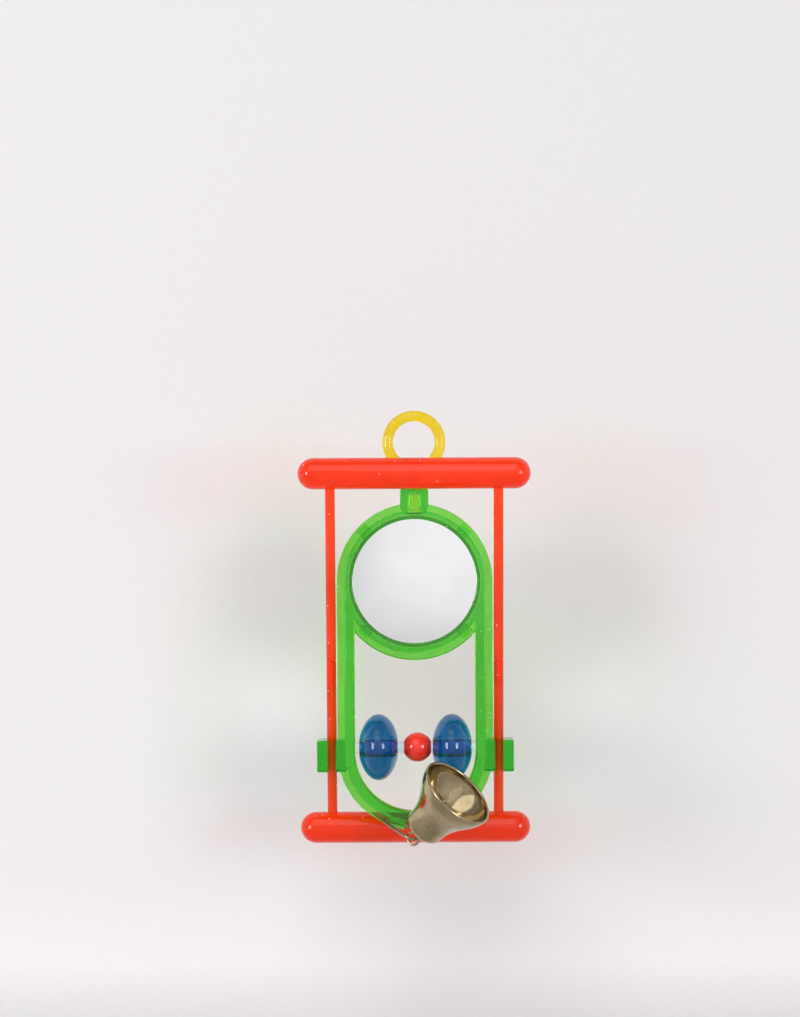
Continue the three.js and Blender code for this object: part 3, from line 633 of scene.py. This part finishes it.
def add(tree, kind, links=(), values=(), **settings):
    """Node with its settings, with sockets set to values, and with other sockets linked from sources."""
    node = tree.nodes.new("ShaderNode" + kind)
    for key, value in settings.items():
        setattr(node, key, value)
    for key, value in dict(values).items():
        node.inputs[key].default_value = value
    for key, source in dict(links).items():
        tree.links.new(source, node.inputs[key])
    return node


def spread(tree, source, low, high, to_low=0.0, to_high=1.0):
    """Value stretched from one range to another and held at its ends."""
    ends = {"From Min": low, "From Max": high, "To Min": to_low, "To Max": to_high}
    return add(tree, "MapRange", {"Value": source}, ends).outputs["Result"]


def blend(tree, share, first, second):
    """Colour between two others, each a source or a fixed colour."""
    node = add(tree, "Mix", {"Factor": share}, data_type="RGBA")
    for key, colour in (("A", first), ("B", second)):
        if isinstance(colour, tuple):
            node.inputs[key].default_value = (*colour, 1)
        else:
            tree.links.new(colour, node.inputs[key])
    return node.outputs["Result"]


def maths(tree, operation, first, second):
    """Result of an operation on two values, each a source or a fixed number."""
    node = add(tree, "Math", operation=operation)
    for socket, value in zip(node.inputs, (first, second)):
        if isinstance(value, (int, float)):
            socket.default_value = value
        else:
            tree.links.new(value, socket)
    return node.outputs["Value"]


def off_axis(tree, place, centre, across):
    """Distance in metres from an axis through a centre in millimetres, along the directions across it."""
    middle = tuple(value / 1000 for value in centre)
    moved = add(tree, "VectorMath", {0: place}, {1: middle}, operation="SUBTRACT").outputs["Vector"]
    flat = add(tree, "VectorMath", {0: moved}, {1: across}, operation="MULTIPLY").outputs["Vector"]
    return add(tree, "VectorMath", {0: flat}, operation="LENGTH").outputs["Value"]


# Finishes

def moulded_group():
    """Moulded plastic: slow flow clouds in the tint, fine haze in the gloss, ripples and trapped specks."""
    group, given, out = new_group(
        "moulded_flow",
        [("Vector", "Vector"), ("Tint", "Color"), ("Flow Scale", "Float"),
         ("Gloss", "Float"), ("Haze", "Float")],
        [("Color", "Color"), ("Roughness", "Float"), ("Height", "Float")])
    where = {"Vector": given["Vector"]}
    flow = add(group, "TexNoise", {**where, "Scale": given["Flow Scale"]},
               {"Detail": 3.0, "Distortion": 0.8}).outputs["Fac"]
    deeper = add(group, "HueSaturation", {"Color": given["Tint"]}, {"Saturation": 1.06, "Value": 0.90})
    clouds = spread(group, flow, low=0.35, high=0.68)
    tint = blend(group, clouds, given["Tint"], deeper.outputs["Color"])
    cells = add(group, "TexVoronoi", where, {"Scale": 420.0})
    chance = add(group, "SeparateColor", {"Color": cells.outputs["Color"]}).outputs["Red"]
    dots = spread(group, cells.outputs["Distance"], low=0.07, high=0.12, to_low=1.0, to_high=0.0)
    specks = maths(group, "MULTIPLY", dots, maths(group, "GREATER_THAN", chance, 0.62))
    fine = add(group, "TexNoise", where, {"Scale": 900.0, "Detail": 2.0}).outputs["Fac"]
    hazy = add(group, "MapRange", {"Value": fine, "To Min": given["Gloss"], "To Max": given["Haze"]},
               {"From Min": 0.35, "From Max": 0.75}).outputs["Result"]
    rough = maths(group, "MAXIMUM", hazy, maths(group, "MULTIPLY", specks, 0.5))
    colour = blend(group, maths(group, "MULTIPLY", specks, 0.8), tint, (1, 1, 1))
    group.links.new(colour, out["Color"])
    group.links.new(rough, out["Roughness"])
    group.links.new(maths(group, "ADD", flow, specks), out["Height"])
    return group


def brass_group():
    """Polished brass: bright and dull clouds, dark specks of tarnish, and fine rub marks."""
    group, given, out = new_group(
        "worn_brass",
        [("Vector", "Vector"), ("Bright", "Color"), ("Dull", "Color"), ("Tarnish", "Color"),
         ("Gloss", "Float"), ("Rubbed", "Float")],
        [("Color", "Color"), ("Roughness", "Float"), ("Height", "Float")])
    where = {"Vector": given["Vector"]}
    cloud = add(group, "TexNoise", where, {"Scale": 160.0, "Detail": 5.0}).outputs["Fac"]
    metal = blend(group, spread(group, cloud, low=0.38, high=0.7), given["Bright"], given["Dull"])
    spots = add(group, "TexNoise", where, {"Scale": 700.0, "Detail": 4.0}).outputs["Fac"]
    stain = spread(group, spots, low=0.62, high=0.74, to_high=0.7)
    rub = add(group, "TexNoise", where, {"Scale": 1400.0, "Detail": 3.0}).outputs["Fac"]
    worn = add(group, "MapRange", {"Value": rub, "To Min": given["Gloss"], "To Max": given["Rubbed"]},
               {"From Min": 0.3, "From Max": 0.8}).outputs["Result"]
    group.links.new(blend(group, stain, metal, given["Tarnish"]), out["Color"])
    group.links.new(maths(group, "ADD", worn, maths(group, "MULTIPLY", stain, 0.2)), out["Roughness"])
    group.links.new(rub, out["Height"])
    return group


MOULDED = moulded_group()
BRASS = brass_group()
PLASTIC_IOR = 1.49


def start_material(name):
    """New material with its nodes, the place on the piece, an empty surface and the output."""
    material = bpy.data.materials.new(name)
    material.use_nodes = True
    tree = material.node_tree
    tree.nodes.clear()
    place = add(tree, "TexCoord").outputs["Object"]
    return material, tree, place, add(tree, "BsdfPrincipled"), add(tree, "OutputMaterial")


def use_finish(tree, surface, finish, relief, depth):
    """Colour, gloss and relief of a finish linked to a surface."""
    bump = add(tree, "Bump", {"Height": finish.outputs["Height"]}, {"Strength": relief, "Distance": depth})
    tree.links.new(finish.outputs["Color"], surface.inputs["Base Color"])
    tree.links.new(finish.outputs["Roughness"], surface.inputs["Roughness"])
    tree.links.new(bump.outputs["Normal"], surface.inputs["Normal"])


def moulded_finish(tree, place, tint, flow, gloss, haze):
    """The moulded plastic's finish with its own values."""
    values = {"Tint": (*tint, 1), "Flow Scale": flow, "Gloss": gloss, "Haze": haze}
    return add(tree, "Group", node_tree=MOULDED, links={"Vector": place}, values=values)


def paint_bore_shade(tree, place, surface, finish, tint):
    """Painted shade on the wall of a bead's bore: a darker colour, its place told by its distance from the
    axle.
    """
    bore = bead_bore / 2 / 1000
    radius = off_axis(tree, place, (0, 0, axle_z), across=(0, 1, 1))
    wall = spread(tree, radius, low=bore + 0.00005, high=bore + 0.0003, to_low=1.0, to_high=0.0)
    tree.links.new(blend(tree, wall, finish.outputs["Color"], tint), surface.inputs["Base Color"])


def clear_plastic(name, tint, body, density, milk, milkiness, shade,
                  flow=120.0, gloss=0.04, haze=0.12, bore=None):
    """Tinted clear plastic: refracts, takes colour with depth, is a little milky, and tints its shadow."""
    material, tree, place, surface, out = start_material(name)
    finish = moulded_finish(tree, place, tint, flow, gloss, haze)
    use_finish(tree, surface, finish, relief=0.05, depth=0.0006)
    # A darker colour on the bore wall is painted shade for the dark band in a bead's bore.
    if bore:
        paint_bore_shade(tree, place, surface, finish, bore)
    surface.inputs["Transmission Weight"].default_value = 1.0
    surface.inputs["IOR"].default_value = PLASTIC_IOR
    cloudy = add(tree, "BsdfPrincipled", values={"IOR": PLASTIC_IOR, "Specular IOR Level": 0.3})
    cloudy_finish = moulded_finish(tree, place, milk, flow, gloss, haze)
    use_finish(tree, cloudy, cloudy_finish, relief=0.05, depth=0.0006)
    both = {1: surface.outputs["BSDF"], 2: cloudy.outputs["BSDF"]}
    seen = add(tree, "MixShader", both, {"Fac": milkiness})
    through = add(tree, "BsdfTransparent", values={"Color": (*shade, 1)})
    lit = add(tree, "LightPath").outputs["Is Shadow Ray"]
    mixed = add(tree, "MixShader", {"Fac": lit, 1: seen.outputs["Shader"], 2: through.outputs["BSDF"]})
    inside = add(tree, "VolumeAbsorption", values={"Color": (*body, 1), "Density": density})
    tree.links.new(mixed.outputs["Shader"], out.inputs["Surface"])
    tree.links.new(inside.outputs["Volume"], out.inputs["Volume"])
    return material


def solid_plastic(name, tint, flow, gloss, haze):
    """Glossy plastic that light enters only a little way."""
    material, tree, place, surface, out = start_material(name)
    finish = moulded_finish(tree, place, tint, flow, gloss, haze)
    use_finish(tree, surface, finish, relief=0.04, depth=0.0004)
    surface.inputs["Subsurface Weight"].default_value = 0.35
    surface.inputs["Subsurface Radius"].default_value = (1.0, 0.15, 0.1)
    surface.inputs["Subsurface Scale"].default_value = 0.002
    tree.links.new(surface.outputs["BSDF"], out.inputs["Surface"])
    return material


def brass(name, bright, dull, tarnish, gloss, rubbed):
    """Metal with the brass finish."""
    material, tree, place, surface, out = start_material(name)
    values = {"Bright": (*bright, 1), "Dull": (*dull, 1), "Tarnish": (*tarnish, 1),
              "Gloss": gloss, "Rubbed": rubbed}
    finish = add(tree, "Group", node_tree=BRASS, links={"Vector": place}, values=values)
    use_finish(tree, surface, finish, relief=0.05, depth=0.0002)
    surface.inputs["Metallic"].default_value = 1.0
    tree.links.new(surface.outputs["BSDF"], out.inputs["Surface"])
    return material


def silvered_mirror(name, bright, dull, painted_edge_shade):
    """Silvered plastic mirror: bright metal, faint clouds, a slight waviness, and a dark green painted
    shade at its edge, under the loop's lip, that darkens the ring's inner band.
    """
    material, tree, place, surface, out = start_material(name)
    cloud = add(tree, "TexNoise", {"Vector": place}, {"Scale": 60.0, "Detail": 4.0}).outputs["Fac"]
    wave = add(tree, "TexNoise", {"Vector": place}, {"Scale": 35.0, "Detail": 1.0}).outputs["Fac"]
    bump = add(tree, "Bump", {"Height": wave}, {"Strength": 0.06, "Distance": 0.001})
    radius = off_axis(tree, place, (0, 0, mirror_z), across=(1, 0, 1))
    # Painted shade: past the window's radius, under the lip, the silver gives way to dark green.
    edge = spread(tree, radius, low=rim_in / 1000 + 0.0001, high=rim_in / 1000 + 0.0003)
    colour = blend(tree, edge, blend(tree, cloud, bright, dull), painted_edge_shade)
    tree.links.new(colour, surface.inputs["Base Color"])
    rough = spread(tree, cloud, low=0.3, high=0.7, to_low=0.07, to_high=0.12)
    tree.links.new(rough, surface.inputs["Roughness"])
    tree.links.new(bump.outputs["Normal"], surface.inputs["Normal"])
    surface.inputs["Metallic"].default_value = 1.0
    tree.links.new(surface.outputs["BSDF"], out.inputs["Surface"])
    return material


yellow = clear_plastic("yellow_clear", tint=(0.97, 0.87, 0.16), body=(0.99, 0.94, 0.05), density=700,
                       milk=(0.90, 0.66, 0.03), milkiness=0.15, shade=(0.92, 0.86, 0.6))
green = clear_plastic("green_clear", tint=(0.62, 0.96, 0.24), body=(0.02, 0.84, 0.04), density=360,
                      milk=(0.11, 0.64, 0.06), milkiness=0.12, shade=(0.88, 0.94, 0.86), flow=90.0)
# The blue's bore colour is painted shade: a darker navy on the wall of each bead's bore.
blue = clear_plastic("blue_clear", tint=(0.03, 0.47, 0.70), body=(0.0, 0.52, 0.75), density=140,
                     milk=(0.01, 0.16, 0.32), milkiness=0.05, shade=(0.70, 0.80, 0.86), flow=140.0,
                     gloss=0.02, haze=0.06, bore=(0.08, 0.24, 0.62))
red = clear_plastic("red_clear", tint=(1.0, 0.18, 0.025), body=(0.985, 0.20, 0.0), density=190,
                    milk=(1.0, 0.06, 0.006), milkiness=0.42, shade=(0.90, 0.76, 0.72), flow=70.0)
clear = clear_plastic("axle_clear", tint=(0.93, 0.95, 0.97), body=(0.8, 0.88, 0.95), density=15,
                      milk=(0.86, 0.84, 0.84), milkiness=0.22, shade=(0.92, 0.94, 0.96))
scarlet = solid_plastic("ball_scarlet", tint=(0.88, 0.045, 0.026), flow=220.0, gloss=0.06, haze=0.10)
bell_brass = brass("bell_brass", bright=(0.50, 0.40, 0.24), dull=(0.32, 0.25, 0.145),
                   tarnish=(0.12, 0.085, 0.05), gloss=0.08, rubbed=0.18)
wire_brass = brass("wire_brass", bright=(0.46, 0.36, 0.22), dull=(0.27, 0.20, 0.12),
                   tarnish=(0.10, 0.07, 0.04), gloss=0.16, rubbed=0.32)
# The mirror's dark green edge is painted shade for the ring's inner band.
silver = silvered_mirror("silvered", bright=(0.95, 0.955, 0.96), dull=(0.90, 0.905, 0.915),
                         painted_edge_shade=(0.06, 0.30, 0.08))


def dress(piece, body, node, material):
    """Piece with its finish, set on its body in place of the plain node."""
    piece.data.materials.clear()
    piece.data.materials.append(material)
    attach(piece, body)
    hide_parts(node)


dress(hook_piece(), "hook", "hanger_hook", yellow)
dress(loop_piece(), "mirror_unit", "mirror_loop", green)
dress(mirror_piece(), "mirror_unit", "mirror_glass", silver)
dress(cover_piece(), "mirror_unit", "mirror_cover", green)
dress(axle_piece(), "mirror_unit", "bead_axle", clear)
dress(bead_piece("left_blue", left_x), "left_bead_body", "left_bead", blue)
dress(ball_piece(), "centre_ball_body", "centre_ball", scarlet)
dress(bead_piece("right_blue", right_x), "right_bead_body", "right_bead", blue)
dress(upper_frame_piece(), "mirror_unit", "upper_half_frame", red)
dress(lower_frame_piece(), "mirror_unit", "lower_half_frame", red)
dress(link_piece(), "link", "bell_link", wire_brass)
dress(eye_piece(), "bell", "bell_eye", wire_brass)
dress(bell_piece(), "bell", "bell_shell", bell_brass)
dress(clapper_piece(), "clapper", "bell_clapper", wire_brass)


# Stage, light and camera, in metres

WALL_Y, FLOOR_Z, STAGE_BEND, STAGE_REACH = 0.045, -0.190, 0.05, 0.9
TOY_MIDDLE = (0, 0, -0.06)


def pale_paper():
    """Grainy paper, darker on the floor, that fades out far away and is not seen from behind."""
    material, tree, place, surface, out = start_material("pale_paper")
    grain = add(tree, "TexNoise", {"Vector": place}, {"Scale": 600.0}).outputs["Fac"]
    wall = blend(tree, grain, (0.765, 0.745, 0.755), (0.795, 0.775, 0.785))
    height = add(tree, "SeparateXYZ", {"Vector": place}).outputs["Z"]
    rise = spread(tree, height, low=FLOOR_Z, high=FLOOR_Z + 0.03)
    paper = blend(tree, rise, (0.52, 0.505, 0.51), wall)
    tree.links.new(paper, surface.inputs["Base Color"])
    surface.inputs["Roughness"].default_value = 0.85
    away = add(tree, "VectorMath", {"Vector": place}, operation="LENGTH").outputs["Value"]
    behind = add(tree, "NewGeometry").outputs["Backfacing"]
    open_share = maths(tree, "MAXIMUM", behind, spread(tree, away, low=0.3, high=0.75))
    nothing = add(tree, "BsdfTransparent").outputs["BSDF"]
    mixed = add(tree, "MixShader", {"Fac": open_share, 1: surface.outputs["BSDF"], 2: nothing})
    tree.links.new(mixed.outputs["Shader"], out.inputs["Surface"])
    return material


def backdrop():
    """Wall behind the toy that bends forward into a floor: a straight, a quarter circle and a straight."""
    turn = np.linspace(0, np.pi / 2, 25)
    curve_y, curve_z = WALL_Y - STAGE_BEND * (1 - np.cos(turn)), FLOOR_Z + STAGE_BEND * (1 - np.sin(turn))
    curve = np.column_stack([curve_y, curve_z])
    line = np.concatenate([[[WALL_Y, STAGE_REACH]], curve, [[-STAGE_REACH, FLOOR_Z]]])
    points = np.stack([np.insert(line, 0, x, axis=1) for x in (-STAGE_REACH, STAGE_REACH)], 1)
    faces = grid_faces(len(line), 2, close_columns=False)
    mesh = bpy.data.meshes.new("backdrop")
    mesh.from_pydata(points.reshape(-1, 3).tolist(), [], faces.tolist())
    mesh.shade_smooth()
    mesh.materials.append(pale_paper())
    piece = bpy.data.objects.new("backdrop", mesh)
    bpy.context.scene.collection.objects.link(piece)


def soft_light(name, place, aim, size, power, mirrored=True):
    """Square lamp that faces its aim, and shows in shiny surfaces or not."""
    lamp = bpy.data.lights.new(name, "AREA")
    lamp.shape = "SQUARE"
    lamp.size = size
    lamp.energy = power
    holder = bpy.data.objects.new(name, lamp)
    holder.location = place
    holder.visible_glossy = mirrored
    holder.rotation_mode = "QUATERNION"
    holder.rotation_quaternion = (Vector(aim) - Vector(place)).to_track_quat("-Z", "Y")
    bpy.context.scene.collection.objects.link(holder)


def studio_world():
    """Dim surroundings, lighter above, that are seen as a pale room with a darker ceiling."""
    world = bpy.data.worlds.new("studio")
    world.use_nodes = True
    tree = world.node_tree
    way = add(tree, "TexCoord").outputs["Generated"]
    up = add(tree, "SeparateXYZ", {"Vector": way}).outputs["Z"]
    dim = blend(tree, spread(tree, up, low=-0.5, high=0.6), (0.06, 0.06, 0.062), (0.36, 0.36, 0.365))
    room = blend(tree, spread(tree, up, low=0.2, high=0.8), (0.64, 0.63, 0.635), (0.30, 0.30, 0.305))
    ray = add(tree, "LightPath").outputs
    mirrored = maths(tree, "MAXIMUM", ray["Is Glossy Ray"], ray["Is Transmission Ray"])
    seen = maths(tree, "MAXIMUM", ray["Is Camera Ray"], mirrored)
    tree.links.new(blend(tree, seen, dim, room), tree.nodes["Background"].inputs["Color"])
    bpy.context.scene.world = world


def photo_camera():
    """Level camera with a long lens in front of the toy, rolled by a third of a degree."""
    camera = bpy.data.cameras.new("camera")
    camera.lens, camera.sensor_width = 100.07, 36.0
    holder = bpy.data.objects.new("camera", camera)
    holder.location = (-0.0040, -0.800, -0.0246)
    holder.rotation_euler = (rad(90), rad(0.3), 0)
    bpy.context.scene.collection.objects.link(holder)
    bpy.context.scene.camera = holder


backdrop()
soft_light("key", (-0.25, -0.80, 0.75), TOY_MIDDLE, size=0.9, power=2.9, mirrored=False)
soft_light("sheen", (-0.24, -0.77, 0.72), TOY_MIDDLE, size=0.9, power=3.1)
soft_light("front", (0.52, -1.3, 0.44), (0.52, 0, 0.44), size=1.1, power=1.2)
soft_light("left", (-0.79, -0.62, 0.02), TOY_MIDDLE, size=0.32, power=3.7)
soft_light("right", (0.67, -0.74, 0.02), TOY_MIDDLE, size=0.30, power=3.1)
studio_world()
photo_camera()
bpy.context.scene.view_settings.view_transform = "Standard"
